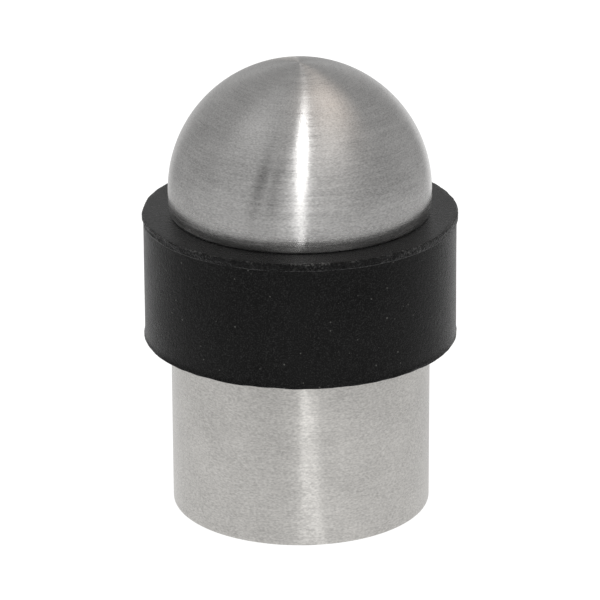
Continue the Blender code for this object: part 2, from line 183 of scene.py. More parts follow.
# a material's tree with its shader, and short ways to add and join nodes
class NodeBoard:
    def __init__(self, name, colour, roughness, metallic):
        self.material = bpy.data.materials.new(name)
        self.material.use_nodes = True
        self.tree = self.material.node_tree
        self.shader = self.tree.nodes["Principled BSDF"]
        self.set(self.shader, "Base Color", (*colour, 1))
        self.set(self.shader, "Roughness", roughness)
        self.set(self.shader, "Metallic", metallic)

    def set(self, node, socket, value):
        node.inputs[socket].default_value = value

    def add(self, kind, **settings):
        node = self.tree.nodes.new("ShaderNode" + kind)
        for key, value in settings.items():
            setattr(node, key, value)
        return node

    def join(self, source, target, socket=0):
        self.tree.links.new(source, target.inputs[socket])

    # a maths node with numbers or outputs as its inputs
    def maths(self, operation, *values):
        node = self.add("Math", operation=operation)
        for place, value in enumerate(values):
            if isinstance(value, bpy.types.NodeSocket):
                self.join(value, node, place)
            else:
                node.inputs[place].default_value = value
        return node.outputs[0]

    # reads a value from low..high as toLow..toHigh, smoothly
    def ramp(self, value, low, high, toLow=0.0, toHigh=1.0, kind="SMOOTHSTEP"):
        node = self.add("MapRange", interpolation_type=kind)
        self.join(value, node)
        for socket, number in enumerate((low, high, toLow, toHigh), 1):
            node.inputs[socket].default_value = number
        return node.outputs[0]

    # noise at a vector, spread so that it reads from low to high
    def noise(self, vector, scale, detail, low=0.0, high=1.0, roughness=0.5):
        node = self.add("TexNoise")
        self.set(node, "Scale", scale)
        self.set(node, "Detail", detail)
        self.set(node, "Roughness", roughness)
        self.join(vector, node)
        return self.ramp(node.outputs["Fac"], 0.25, 0.75, low, high, "LINEAR")

    # colour between two ends
    def blend(self, share, first, second):
        node = self.add("Mix", data_type="RGBA")
        self.join(share, node, 0)
        for socket, colour in ((6, first), (7, second)):
            if isinstance(colour, bpy.types.NodeSocket):
                self.join(colour, node, socket)
            else:
                node.inputs[socket].default_value = (*colour, 1)
        return node.outputs[2]

    # object coordinates of the piece, in metres
    def place(self):
        return self.add("TexCoord").outputs["Object"]

    def split(self, vector):
        node = self.add("SeparateXYZ")
        self.join(vector, node)
        return node.outputs

    # coordinates that follow the lathe: distance round the axis at a given radius, and z - r across,
    # which runs steadily along a cylinder, a flat face and a dome alike
    def latheVector(self, radius, around, across):
        x, y, z = self.split(self.place())
        r = self.maths("SQRT", self.maths("ADD", self.maths("MULTIPLY", x, x), self.maths("MULTIPLY", y, y)))
        safeR = self.maths("MAXIMUM", r, 0.0002)
        pack = self.add("CombineXYZ")
        self.join(self.maths("MULTIPLY", self.maths("DIVIDE", x, safeR), radius * around), pack, 0)
        self.join(self.maths("MULTIPLY", self.maths("DIVIDE", y, safeR), radius * around), pack, 1)
        self.join(self.maths("MULTIPLY", self.maths("SUBTRACT", z, r), across), pack, 2)
        return pack.outputs[0]

    # the brushing's direction: Z crossed with the place gives the way round the axis, and a share of the
    # way down the surface makes it a shallow spiral
    def spiralTangent(self, slope):
        around = self.add("VectorMath", operation="CROSS_PRODUCT")
        around.inputs[0].default_value = (0, 0, 1)
        self.join(self.place(), around, 1)
        toWorld = self.add("VectorTransform", vector_type="VECTOR", convert_from="OBJECT", convert_to="WORLD")
        self.join(around.outputs[0], toWorld)
        unit = self.add("VectorMath", operation="NORMALIZE")
        self.join(toWorld.outputs[0], unit)
        down = self.add("VectorMath", operation="CROSS_PRODUCT")
        self.join(unit.outputs[0], down, 0)
        self.join(self.add("NewGeometry").outputs["Normal"], down, 1)
        lean = self.add("VectorMath", operation="MULTIPLY_ADD")
        self.join(down.outputs[0], lean, 0)
        lean.inputs[1].default_value = [math.tan(math.radians(slope))] * 3
        self.join(unit.outputs[0], lean, 2)
        self.join(lean.outputs[0], self.shader, "Tangent")

    # 1 inside a speck: the nearest cell's middle is close, and the cell's own colour is one of the chosen
    def specks(self, scale, size, share):
        cells = self.add("TexVoronoi", feature="F1")
        self.set(cells, "Scale", scale)
        self.join(self.place(), cells)
        red, green, blue = self.split(cells.outputs["Color"])
        reach = self.maths("MULTIPLY", green, size)
        near = self.maths("LESS_THAN", cells.outputs["Distance"], reach)
        chosen = self.maths("GREATER_THAN", red, 1 - share)
        return self.maths("MULTIPLY", near, chosen)

    # 1 on a small ring of the given radius and line width, round a point of the surface
    def ringMark(self, centre, radius, width):
        away = self.add("VectorMath", operation="DISTANCE")
        self.join(self.place(), away, 0)
        away.inputs[1].default_value = centre
        off = self.maths("ABSOLUTE", self.maths("SUBTRACT", away.outputs["Value"], radius))
        return self.ramp(off, width, 0.0)

    def bump(self, height, distance, under=None):
        node = self.add("Bump")
        self.set(node, "Distance", distance)
        self.join(height, node, "Height")
        if under is not None:
            self.join(under, node, "Normal")
        return node.outputs[0]


# stainless steel brushed round the axis: long lines and short hairs in the bump and the colour, and lines
# in the roughness, over a slow cloudiness; a quarter turn of the anisotropy draws the highlight out across
# the lines
def brushedSteel(name, look):
    board = NodeBoard(name, look["colour"], look["roughness"], 1)
    radius = look["radius"]
    hairs = board.noise(board.latheVector(radius, look["hairRound"], look["hairAcross"]), 1.0, 1)
    lines = board.noise(board.latheVector(radius, look["lineRound"], look["lineAcross"]), 1.0, 2)
    cloud = board.noise(board.place(), look["cloud"], 3)
    lineShare = 1 - look["cloudShare"] - look["hairShare"]
    mixed = board.maths("MULTIPLY", hairs, look["hairShare"])
    mixed = board.maths("ADD", mixed, board.maths("MULTIPLY", lines, lineShare))
    tone = board.maths("ADD", mixed, board.maths("MULTIPLY", cloud, look["cloudShare"]))
    dark = [c * (1 - look["toneSpread"]) for c in look["colour"]]
    light = [c * (1 + look["toneSpread"]) for c in look["colour"]]
    steel = board.blend(tone, dark, light)
    pits = board.specks(look["pitScale"], look["pitSize"], look["pitShare"])
    board.join(board.blend(pits, steel, look["pitColour"]), board.shader, "Base Color")
    spread = board.maths("MULTIPLY", lines, look["roughSpread"])
    cloudy = board.maths("MULTIPLY", cloud, look["cloudRough"])
    rough = board.maths("ADD", board.maths("ADD", spread, cloudy), look["roughness"])
    height = board.split(board.place())[2]
    low, high = look["bandHeights"]
    rough = board.maths("SUBTRACT", rough, board.ramp(height, high, low, 0.0, look["bandGloss"]))
    board.join(rough, board.shader, "Roughness")
    under = board.bump(lines, look["lineHeight"])
    board.join(board.bump(hairs, look["hairHeight"], under), board.shader, "Normal")
    board.spiralTangent(look["slope"])
    board.set(board.shader, "Anisotropic", look["anisotropic"])
    board.set(board.shader, "Anisotropic Rotation", 0.25)
    return board.material


# matt moulded rubber: fine grain, cloudy patches where it has been handled, sparse light dust, small round
# marks left by the mould, a smoother skin on top, a crumbly band where it was trimmed under the top's rim,
# with painted glints where its crumbs catch the light, and painted highlights in light flecks along that rim
def mouldedRubber(name, look):
    board = NodeBoard(name, look["colour"], look["roughness"], 0)
    place = board.place()
    grain = board.noise(place, look["grain"], 2, 0, 1, 0.7)
    pores = board.noise(place, look["grain"] * look["poreRatio"], 3, 0, 1, 0.6)
    cloud = board.noise(place, look["cloud"], 4, 0, 1, 0.6)
    sandy = board.maths("MULTIPLY", board.ramp(grain, *look["sandy"]), 1 - look["cloudShare"])
    tone = board.maths("ADD", sandy, board.maths("MULTIPLY", cloud, look["cloudShare"]))
    base = board.blend(tone, look["colour"], look["worn"])
    x, y, z = board.split(place)
    r = board.maths("SQRT", board.maths("ADD", board.maths("MULTIPLY", x, x), board.maths("MULTIPLY", y, y)))
    top, rim, low = look["topHeight"], look["rimRadius"], look["bandFoot"]
    smooth = board.ramp(z, top - look["topFade"][0], top + look["topFade"][1])
    crumbs = board.noise(place, look["crumbs"], 2, 0, 1, 0.7)
    clumps = board.noise(place, look["clumps"], 2)
    rising = board.ramp(z, low, low + look["bandFade"])
    torn = board.maths("MULTIPLY", rising, board.maths("SUBTRACT", 1, smooth))
    # painted glints: light flecks on the trimmed band, where its crumbs catch the light; the colour below
    # carries these glints, the painted rim highlights and real dust
    crumbGlintPatches = board.ramp(clumps, *look["crumbGlintPatches"])
    crumbGlints = board.maths("MULTIPLY", board.ramp(crumbs, *look["crumbGlints"]), crumbGlintPatches)
    dustAndGlints = board.blend(board.maths("MULTIPLY", torn, crumbGlints), base, look["crumbGlintColour"])
    # painted highlight: light flecks along the top rim, where its edge catches the light
    nearRim = board.ramp(r, rim - look["rimFade"][0], rim - look["rimFade"][1])
    nearTop = board.ramp(z, top - look["rimDepth"][0], top - look["rimDepth"][1])
    rimGlintPatches = board.ramp(clumps, *look["rimGlintPatches"])
    rimGlints = board.maths("MULTIPLY", board.ramp(crumbs, *look["rimGlints"]), rimGlintPatches)
    edge = board.maths("MULTIPLY", nearRim, nearTop)
    dustAndGlints = board.blend(board.maths("MULTIPLY", edge, rimGlints), dustAndGlints, look["rimGlintColour"])
    for scale, size, share in look["dust"]:
        dustAndGlints = board.blend(board.specks(scale, size, share), dustAndGlints, look["dustColour"])
    board.join(dustAndGlints, board.shader, "Base Color")
    rough = board.maths("ADD", board.maths("MULTIPLY", cloud, look["cloudRough"]), look["roughness"])
    rough = board.maths("SUBTRACT", rough, board.maths("MULTIPLY", smooth, look["topGloss"]))
    board.join(rough, board.shader, "Roughness")
    calm = board.maths("SUBTRACT", 1, board.maths("MULTIPLY", smooth, look["topCalm"]))
    height = board.maths("MULTIPLY", board.maths("ADD", grain, pores), calm)
    loose = board.maths("MULTIPLY", board.maths("MULTIPLY", torn, crumbs), look["crumbHeight"])
    height = board.maths("ADD", height, loose)
    for centre, radius, width in look["marks"]:
        mark = board.maths("MULTIPLY", board.ringMark(centre, radius, width), look["markHeight"])
        height = board.maths("ADD", height, mark)
    board.join(board.bump(height, look["grainHeight"]), board.shader, "Normal")
    board.set(board.shader, "IOR", 1.5)
    board.set(board.shader, "Specular IOR Level", look["shine"])
    board.set(board.shader, "Sheen Weight", look["sheen"])
    board.set(board.shader, "Sheen Roughness", look["sheenRoughness"])
    return board.material


# place on a cylinder about the axis, at an azimuth in degrees from the front
def onSide(radius, azimuth, height):
    a = math.radians(azimuth)
    return (radius * math.sin(a), -radius * math.cos(a), height)


domeLook = {
    "colour": (0.60, 0.592, 0.582),
    "roughness": 0.245,
    "roughSpread": 0.10,
    "cloudRough": 0.03,
    "toneSpread": 0.46,  # how far the colour goes down and up from its middle, as a share of it
    "cloudShare": 0.25,  # shares of the cloudiness and of the hairs in the tone; the rest is lines
    "hairShare": 0.5,
    "radius": 19.15 * mm,
    "hairRound": 2400,  # changes per metre round the axis
    "hairAcross": 5000,  # and across the brushing
    "hairHeight": 3.0e-6,
    "lineRound": 130,
    "lineAcross": 2400,
    "lineHeight": 7.0e-6,
    "cloud": 140,
    "pitScale": 900,
    "pitSize": 0.16,
    "pitShare": 0.003,
    "pitColour": (0.85, 0.84, 0.82),
    "anisotropic": 0.96,
    "slope": 7.5,  # degrees that the brushing climbs
    "bandHeights": (46.5 * mm, 49.5 * mm),  # the brushing is finer below these heights
    "bandGloss": 0.07,
}
sleeveLook = dict(
    domeLook,
    colour=(0.615, 0.600, 0.575),
    radius=19 * mm,
    toneSpread=0.40,
    slope=-3,
    lineRound=170,
    pitShare=0.001,
    bandGloss=0.0,
)
platedLook = dict(
    sleeveLook, colour=(0.60, 0.61, 0.62), roughness=0.3, roughSpread=0.06, lineAcross=1500, anisotropic=0.4,
    toneSpread=0.08, pitShare=0.0
)
screwLook = dict(platedLook, colour=(0.68, 0.67, 0.65), roughness=0.22, radius=3 * mm, anisotropic=0.3)
springLook = dict(platedLook, colour=(0.40, 0.40, 0.41), radius=13.7 * mm, anisotropic=0.3)
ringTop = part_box("buffer_ring")[1]
rubberLook = {
    "colour": (0.0002, 0.0002, 0.0002),
    "worn": (0.026, 0.026, 0.026),
    "sandy": (0.44, 0.85),  # the grain reads as worn between these values
    "cloudShare": 0.15,
    "cloudRough": 0.10,
    # colour of the painted glints on the trimmed band's crumbs
    "crumbGlintColour": (0.055, 0.055, 0.054),
    # colour of the painted highlights along the top rim
    "rimGlintColour": (0.12, 0.12, 0.117),
    "dustColour": (0.085, 0.085, 0.08),
    "dust": [(1300, 0.22, 0.008), (2600, 0.36, 0.03)],  # cells per metre, speck's size and share of cells
    "roughness": 0.31,
    "shine": 0.12,
    "sheen": 0.25,
    "sheenRoughness": 0.2,
    "grain": 5400,
    "poreRatio": 0.37,  # the pores' scale as a share of the grain's
    "grainHeight": 4.0e-5,
    "cloud": 120,
    "topHeight": ringTop.z,
    "topFade": (0.12 * mm, 0.02 * mm),  # the smooth skin begins this far below the top, whole this far above
    "topGloss": 0.29,
    "topCalm": 0.2,  # share of the grain's height that the smooth skin takes away
    "bandFoot": ringTop.z - 1.25 * mm,
    "bandFade": 0.15 * mm,
    "rimRadius": ringTop.x,
    "rimFade": (0.45 * mm, 0.2 * mm),  # the painted rim highlights begin, and are whole, at these distances in from the rim
    "rimDepth": (0.3 * mm, 0.12 * mm),  # and at these depths below the top
    "crumbs": 3000,
    "crumbHeight": 5,  # heights of the crumbs and the mould's marks, in the grain's heights
    "markHeight": 1.6,
    "clumps": 330,
    "crumbGlints": (0.5, 0.8),  # crumbs that show as painted glints on the band and as painted highlights along the rim
    "rimGlints": (0.45, 0.75),
    "crumbGlintPatches": (0.34, 0.64, 0.15, 1.0),  # clumps that let them show, and the least and most they show
    "rimGlintPatches": (0.3, 0.75, 0.1, 1.0),
    "marks": [
        (onSide(23 * mm, -18.9, 41.5 * mm), 0.65 * mm, 0.12 * mm),
        (onSide(23 * mm, 12.5, 41.5 * mm), 0.85 * mm, 0.12 * mm),
    ],
}
sealLook = dict(rubberLook, colour=(0.015, 0.015, 0.016), worn=(0.03, 0.03, 0.03), dust=[], marks=[])
sealLook["topHeight"] = 1.0  # never reached, so the seals have no smooth skin, crumbs, painted crumb glints or painted rim highlights
sealLook["bandFoot"] = 0.9

domeSteel = brushedSteel("domeSteel", domeLook)
sleeveSteel = brushedSteel("sleeveSteel", sleeveLook)
platedSteel = brushedSteel("platedSteel", platedLook)
screwSteel = brushedSteel("screwSteel", screwLook)
springSteel = brushedSteel("springSteel", springLook)
ringRubber = mouldedRubber("ringRubber", rubberLook)
sealRubber = mouldedRubber("sealRubber", sealLook)
print("materials made")


# gives a piece its material and its body, and hides the CAD node it stands for
def install(piece, material, body, node):
    piece.data.materials.append(material)
    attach(piece, body)
    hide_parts(node)


domeSpec = {
    "wall": 1.6 * mm,
    "gap": 0.07 * mm,
    "edge": 0.09 * mm,
    "rollHeight": 3.0 * mm,  # the skirt rolls in over this height, by this much at its end
    "rollIn": 0.28 * mm,
    "steps": 256,
    "arcSteps": 110,
    "lipSteps": 6,
    "insideSteps": 60,
    "skirtSpacing": 0.2 * mm,
    "insideSpacing": 0.4 * mm,
}


# the shell's outline: a quarter circle down to its widest, the skirt, which rolls in by a square law, a
# rounded lip just above the ring, and back up inside
def domeOutline(spec):
    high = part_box("dome_shell")[1]
    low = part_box("buffer_ring")[1].z + spec["gap"]
    outer = high.x
    inner = outer - spec["wall"]
    centre = high.z - outer
    edge = spec["edge"]
    outside = arc(0, centre, outer, 90, 0, spec["arcSteps"])
    skirt = straight((outer, centre), (outer, low + edge), spec["skirtSpacing"])[1:]
    lipOut = arc(outer - edge, low + edge, edge, 0, -90, spec["lipSteps"])
    lipIn = arc(inner + edge, low + edge, edge, -90, -180, spec["lipSteps"])
    inSkirt = straight((inner, low + edge), (inner, centre), spec["insideSpacing"])[1:]
    inside = arc(0, centre, inner, 0, 90, spec["insideSteps"])
    outline = np.vstack([outside, skirt, lipOut, lipIn, inSkirt, inside])
    outline[0, 0] = outline[-1, 0] = 0
    share = np.clip((low + spec["rollHeight"] - outline[:, 1]) / spec["rollHeight"], 0, 1)
    outline[:, 0] -= spec["rollIn"] * share**2 * (outline[:, 0] > inner + edge)
    return outline


dome = turnedPiece("domeSkin", domeOutline(domeSpec), domeSpec["steps"])
install(dome, domeSteel, "dome", "dome_shell")
print("dome made,", len(dome.data.polygons), "faces")


# flat rings and tubes that are plain but for their rounded edges: bore radius, edge radius and spacing of
# points in millimetres
plainRings = {
    "sleeveTube": {"node": "base_sleeve", "bore": 17.5, "edge": 0.3, "spacing": 0.5, "steps": 256},
    "seatRing": {"node": "ring_seat", "bore": 15.3, "edge": 0.3, "spacing": 0.3, "steps": 192},
    "footDisc": {"node": "base_disc", "bore": 3.25, "edge": 0.35, "spacing": 0.4, "steps": 192},
    "footGasket": {"node": "base_gasket", "bore": 6.0, "edge": 0.25, "spacing": 0.3, "steps": 192},
    "capDisc": {"node": "cap_disc", "bore": 11.1, "edge": 0.35, "spacing": 0.4, "steps": 192},
}


def plainRing(name, spec):
    low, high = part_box(spec["node"])
    outline = ringOutline(spec["bore"] * mm, high.x, low.z, high.z, spec["edge"] * mm, spec["spacing"] * mm)
    return turnedPiece(name, outline, spec["steps"])


sleeve = plainRing("sleeveTube", plainRings["sleeveTube"])
install(sleeve, sleeveSteel, "base", "base_sleeve")
seat = plainRing("seatRing", plainRings["seatRing"])
install(seat, platedSteel, "base", "ring_seat")
footDisc = plainRing("footDisc", plainRings["footDisc"])
install(footDisc, platedSteel, "base", "base_disc")
gasket = plainRing("footGasket", plainRings["footGasket"])
install(gasket, sealRubber, "base", "base_gasket")
capDisc = plainRing("capDisc", plainRings["capDisc"])
install(capDisc, platedSteel, "dome", "cap_disc")
print("sleeve, seat, discs and gasket made")


ringSpec = {
    "inner": 15.3 * mm,
    "innerEdge": 0.3 * mm,
    "rim": 0.22 * mm,
    "bandRows": 1.3 * mm,  # the rows are close together here, under the top rim
    "footRows": 0.9 * mm,  # and here, above the bottom rim
    "steps": 880,
    "lip": 0.07 * mm,  # how far the trimmed band under the top rim stands out past the side
    "lipReach": 1.1 * mm,  # the band's height
    "lipEdge": 0.12 * mm,
    "foot": 0.06 * mm,  # how far the bottom rim stands out
    "footReach": 0.5 * mm,
    "crumble": 0.075 * mm,  # spread of the band's unevenness
    "footCrumble": 0.05 * mm,
    "footLift": 0.05 * mm,
    "wave": 0.03 * mm,  # slow unevenness of the side
    "fadeFrom": 1.5 * mm,  # the unevenness fades in over fadeOver, from this far inside the side
    "fadeOver": 1.0 * mm,
    "fineSpan": (2, 6),  # how far each field is smoothed, in rows and steps
    "coarseSpan": (2, 20),
    "slowSpan": (30, 160),
    "mixShare": 0.7,  # share of the second field in a mix of two
    "seed": 7,
    "rimSteps": 6,
    "innerSteps": 4,
    "faceSpacing": 0.7 * mm,
    "bandSpacing": 0.09 * mm,
    "sideSpacing": 0.45 * mm,
    "footSpacing": 0.15 * mm,
    "underSpacing": 1.2 * mm,
    "boreSpacing": 2.0 * mm,
}


# the side lies back by the lip except in a band under the top rim and at the bottom rim; both are uneven
# by a mix of two random fields, and the side has a slow wave
def ringRelief(angle, r, z):
    low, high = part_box("buffer_ring")
    spec = ringSpec
    fromTop = high.z - z
    fromBottom = z - low.z
    outerSide = np.clip((r - high.x + spec["fadeFrom"]) / spec["fadeOver"], 0, 1)
    band = 1 / (1 + np.exp((fromTop - spec["lipReach"]) / (spec["lipEdge"] / 4)))
    foot = np.exp(-((fromBottom / spec["footReach"]) ** 2))
    side = np.clip(1 - band - foot, 0, 1)
    fine = roughField(*r.shape, *spec["fineSpan"], spec["seed"])
    coarse = roughField(*r.shape, *spec["coarseSpan"], spec["seed"] + 1)
    slow = roughField(*r.shape, *spec["slowSpan"], spec["seed"] + 2)
    pull = -spec["lip"] * side - (spec["lip"] - spec["foot"]) * foot
    crumbs = np.abs(fine + spec["mixShare"] * coarse)
    crumbly = spec["crumble"] * band + spec["footCrumble"] * foot
    uneven = -crumbs * crumbly - np.abs(slow) * spec["wave"] * side
    lift = np.abs(coarse + spec["mixShare"] * fine) * spec["footLift"] * foot * outerSide
    return (pull + uneven) * outerSide, lift


# closed outline of the ring, with rows packed close where the band and the bottom rim are uneven
def ringProfile(spec):
    low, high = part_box("buffer_ring")
    rim, edge, inner, outer = spec["rim"], spec["innerEdge"], spec["inner"], high.x
    sideTop, sideFoot = high.z - rim, low.z + rim
    bandFoot, footTop = sideTop - spec["bandRows"], sideFoot + spec["footRows"]
    innerTop = arc(inner + edge, high.z - edge, edge, 180, 90, spec["innerSteps"])
    innerFoot = arc(inner + edge, low.z + edge, edge, -90, -180, spec["innerSteps"])
    topRim = arc(outer - rim, sideTop, rim, 90, 0, spec["rimSteps"])
    footRim = arc(outer - rim, sideFoot, rim, 0, -90, spec["rimSteps"])
    face = straight(innerTop[-1], topRim[0], spec["faceSpacing"])[1:]
    band = straight((outer, sideTop), (outer, bandFoot), spec["bandSpacing"])[1:]
    side = straight((outer, bandFoot), (outer, footTop), spec["sideSpacing"])
    foot = straight((outer, footTop), (outer, sideFoot), spec["footSpacing"])
    under = straight(footRim[-1], innerFoot[0], spec["underSpacing"])[1:]
    bore = straight(innerFoot[-1], innerTop[0], spec["boreSpacing"])[1:]
    return np.vstack([innerTop, face, topRim, band, side, foot, footRim, under, innerFoot, bore])


ring = turnedPiece("rubberRing", ringProfile(ringSpec), ringSpec["steps"], ringRelief)
install(ring, ringRubber, "buffer", "buffer_ring")
print("ring made,", len(ring.data.polygons), "faces")


neckSpec = {
    "bore": 11.1 * mm,
    "counterbore": 12.5 * mm,
    "counterDepth": 2.1 * mm,
    "edge": 0.25 * mm,
    "steps": 160,
    "depth": 1.0 * mm,  # the female thread's depth below the bore
    "slack": 0.05 * mm,  # a point this near the bore's wall, or the counterbore's floor, counts as on it
    "floorSlack": 0.01 * mm,
    "thread": {
        "start": 31.5 * mm,
        "pitch": 2 * mm,
        "crest": 0.75 * mm,
        "flank": 0.58 * mm,
        "turns": 6.2,
        "fade": 0.3,
    },
}
spigotSpec = {
    "bore": 8.6 * mm,
    "outer": 10.8 * mm,
    "groove": (10.1 * mm, 41.9 * mm, 44.3 * mm),  # the O-ring groove's root radius, bottom and top
    "edge": 0.15 * mm,
    "steps": 160,
    "depth": 1.0 * mm,
    "slack": 0.05 * mm,
    "thread": {
        "start": 33.5 * mm,
        "pitch": 2 * mm,
        "crest": 0.25 * mm,
        "flank": 0.58 * mm,
        "turns": 3.7,
        "fade": 0.35,
    },
}


# the female thread: the bore steps out by the thread's height below the counterbore
def neckRelief(angle, r, z):
    spec = neckSpec
    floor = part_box("neck_tube")[1].z - spec["counterDepth"]
    onBore = (r < spec["bore"] + spec["slack"]) & (z < floor + spec["floorSlack"])
    return onBore * spec["depth"] * threadHeight(angle, z, spec["thread"]), 0 * z


# the male thread: the outer wall stands out by the thread's height
def spigotRelief(angle, r, z):
    spec = spigotSpec
    onWall = r > spec["outer"] - spec["slack"]
    return onWall * spec["depth"] * threadHeight(angle, z, spec["thread"]), 0 * z


neckLow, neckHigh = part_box("neck_tube")
counterFloor = neckHigh.z - neckSpec["counterDepth"]
neckCorners = [
    (neckSpec["counterbore"], neckHigh.z),
    (neckHigh.x, neckHigh.z),
    (neckHigh.x, neckLow.z),
    (neckSpec["bore"], neckLow.z),
    (neckSpec["bore"], counterFloor),
    (neckSpec["counterbore"], counterFloor),
]
neckSpacings = np.array([0.5, 1.0, 0.5, 0.14, 0.5, 0.5]) * mm
neckOutline = roundedOutline(neckCorners, [neckSpec["edge"]] * 6, neckSpacings)
neck = turnedPiece("neckTube", neckOutline, neckSpec["steps"], neckRelief)
install(neck, platedSteel, "base", "neck_tube")

spigotLow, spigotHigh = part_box("threaded_spigot")
grooveRoot, grooveLow, grooveHigh = spigotSpec["groove"]
spigotCorners = [
    (spigotSpec["bore"], spigotHigh.z),
    (spigotSpec["outer"], spigotHigh.z),
    (spigotSpec["outer"], grooveHigh),
    (grooveRoot, grooveHigh),
    (grooveRoot, grooveLow),
    (spigotSpec["outer"], grooveLow),
    (spigotSpec["outer"], spigotLow.z),
    (spigotSpec["bore"], spigotLow.z),
]
spigotSpacings = np.array([0.5, 0.5, 0.2, 0.3, 0.2, 0.12, 0.5, 1.0]) * mm
spigotOutline = roundedOutline(spigotCorners, [spigotSpec["edge"]] * 8, spigotSpacings)
spigot = turnedPiece("threadedSpigot", spigotOutline, spigotSpec["steps"], spigotRelief)
install(spigot, platedSteel, "dome", "threaded_spigot")
print("neck and spigot made,", len(neck.data.polygons), "and", len(spigot.data.polygons), "faces")


washerSpec = {
    "inner": 12.8 * mm,
    "outer": 14.6 * mm,
    "thickness": 0.5 * mm,
    "edge": 0.12 * mm,
    "spacing": 0.3 * mm,
    "steps": 192,
    "wave": 0.2 * mm,
    "waves": 3,
}
sealSpec = {"major": 11.3 * mm, "minor": 0.9 * mm, "steps": 160, "sectionSteps": 28}


# spring washer: a flat ring that rises and falls by wave * sin(waves a) round the axis
def washerRelief(angle, r, z):
    return 0 * r, washerSpec["wave"] * np.sin(washerSpec["waves"] * angle) + 0 * z


washerLow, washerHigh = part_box("wave_washer")
washerMiddle = (washerLow.z + washerHigh.z) / 2
washerHalf = washerSpec["thickness"] / 2
washerOutline = ringOutline(
    washerSpec["inner"],
    washerSpec["outer"],
    washerMiddle - washerHalf,
    washerMiddle + washerHalf,
    washerSpec["edge"],
    washerSpec["spacing"],
)
washer = turnedPiece("waveWasher", washerOutline, washerSpec["steps"], washerRelief)
install(washer, springSteel, "base", "wave_washer")

sealLow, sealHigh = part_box("spigot_oring")
sealMiddle = (sealLow.z + sealHigh.z) / 2
sealOutline = arc(sealSpec["major"], sealMiddle, sealSpec["minor"], 360, 0, sealSpec["sectionSteps"])[:-1]
seal = turnedPiece("spigotSeal", sealOutline, sealSpec["steps"])
install(seal, sealRubber, "dome_carrier", "spigot_oring")
print("washer and seal made")


screwSpec = {
    "headRadius": 5.5 * mm,
    "rim": 0.5 * mm,
    "shank": 1.95 * mm,
    "crest": 2.75 * mm,
    "taper": 6.0 * mm,
    "tip": 0.15 * mm,
    "coreHeight": 34 * mm,  # the thread lies below this height, clear of the head's cone
    "thread": {
        "start": 1.2 * mm,
        "pitch": 3 * mm,
        "crest": 0.16 * mm,
        "flank": 0.42 * mm,
        "turns": 9.6,
        "fade": 0.5,
    },
    "recessHalfWidth": 0.55 * mm,
    "recessHalfSpan": 3.0 * mm,
    "recessDepth": 2.2 * mm,
    "recessRise": 0.6,  # share of its depth that an arm has lost at its end
    "armWall": 0.14 * mm,  # run of the recess's walls, beside the arms and at their ends
    "armEnd": 0.4 * mm,
    "edge": 0.12 * mm,
    "edgeSteps": 4,
    "faceRadius": 3.4 * mm,  # the head's top has close rows inside this, for the recess
    "faceSlack": 0.05 * mm,
    "faceSpacing": 0.09 * mm,
    "coneSpacing": 0.4 * mm,
    "shankSpacing": 0.13 * mm,
    "steps": 192,
}
tiny = 1e-6  # a micrometre, the slack for points that lie on a limit
cupSpec = {"hole": 3.1 * mm, "radius": 7.6 * mm, "wall": 0.6 * mm, "height": 3.4 * mm, "steps": 192}


# countersunk wood screw: flat head, rim, 45 degree cone, shank, and a point over the last few millimetres
def screwOutline(spec):
    low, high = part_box("fixing_screw")
    head, edge, taperTop = spec["headRadius"], spec["edge"], low.z + spec["taper"]
    coneEnd = high.z - spec["rim"] - (head - spec["shank"])
    face = straight((0, high.z), (spec["faceRadius"], high.z), spec["faceSpacing"])
    faceRim = straight((spec["faceRadius"], high.z), (head - edge, high.z), spec["coneSpacing"])
    rimTop = arc(head - edge, high.z - edge, edge, 90, 0, spec["edgeSteps"])
    rimLow = (head, high.z - spec["rim"])
    cone = straight(rimLow, (spec["shank"], coneEnd), spec["coneSpacing"])
    shank = straight((spec["shank"], coneEnd), (spec["shank"], taperTop), spec["shankSpacing"])
    point = straight((spec["shank"], taperTop), (spec["tip"], low.z), spec["shankSpacing"])
    ends = [(spec["tip"], low.z), (0, low.z)]
    return np.vstack([face, faceRim, rimTop, cone, shank, point, ends])


# the thread stands out to the crest radius, less in proportion where the core tapers, and the head's top
# sinks in a cross whose arms get shallower outwards
def screwRelief(angle, r, z):
    spec = screwSpec
    low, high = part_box("fixing_screw")
    up = z - low.z
    core = (r <= spec["shank"] + tiny) & (up > tiny) & (up < spec["coreHeight"])
    tipShare = spec["tip"] / spec["shank"]
    share = tipShare + (1 - tipShare) * np.clip(up / spec["taper"], 0, 1)
    stand = (spec["crest"] - spec["shank"]) * share * core * threadHeight(angle, up, spec["thread"])
    x, y = r * np.cos(angle), r * np.sin(angle)
    sink = 0 * r
    for along, across in ((x, y), (y, x)):
        arms = np.clip((spec["recessHalfWidth"] - np.abs(across)) / spec["armWall"] + 0.5, 0, 1)
        arms = arms * np.clip((spec["recessHalfSpan"] - np.abs(along)) / spec["armEnd"], 0, 1)
        depth = spec["recessDepth"] * (1 - spec["recessRise"] * (along / spec["recessHalfSpan"]) ** 2)
        sink = np.maximum(sink, arms * np.clip(depth, 0, None))
    onFace = (z > high.z - tiny) & (r < spec["faceRadius"] + spec["faceSlack"])
    return stand, -sink * onFace


screwPoints = screwOutline(screwSpec)
screwPoints[0, 1] -= screwSpec["recessDepth"]  # the pole lies at the recess's bottom
screw = turnedPiece("fixingScrew", screwPoints, screwSpec["steps"], screwRelief)
install(screw, screwSteel, "screw", "fixing_screw")

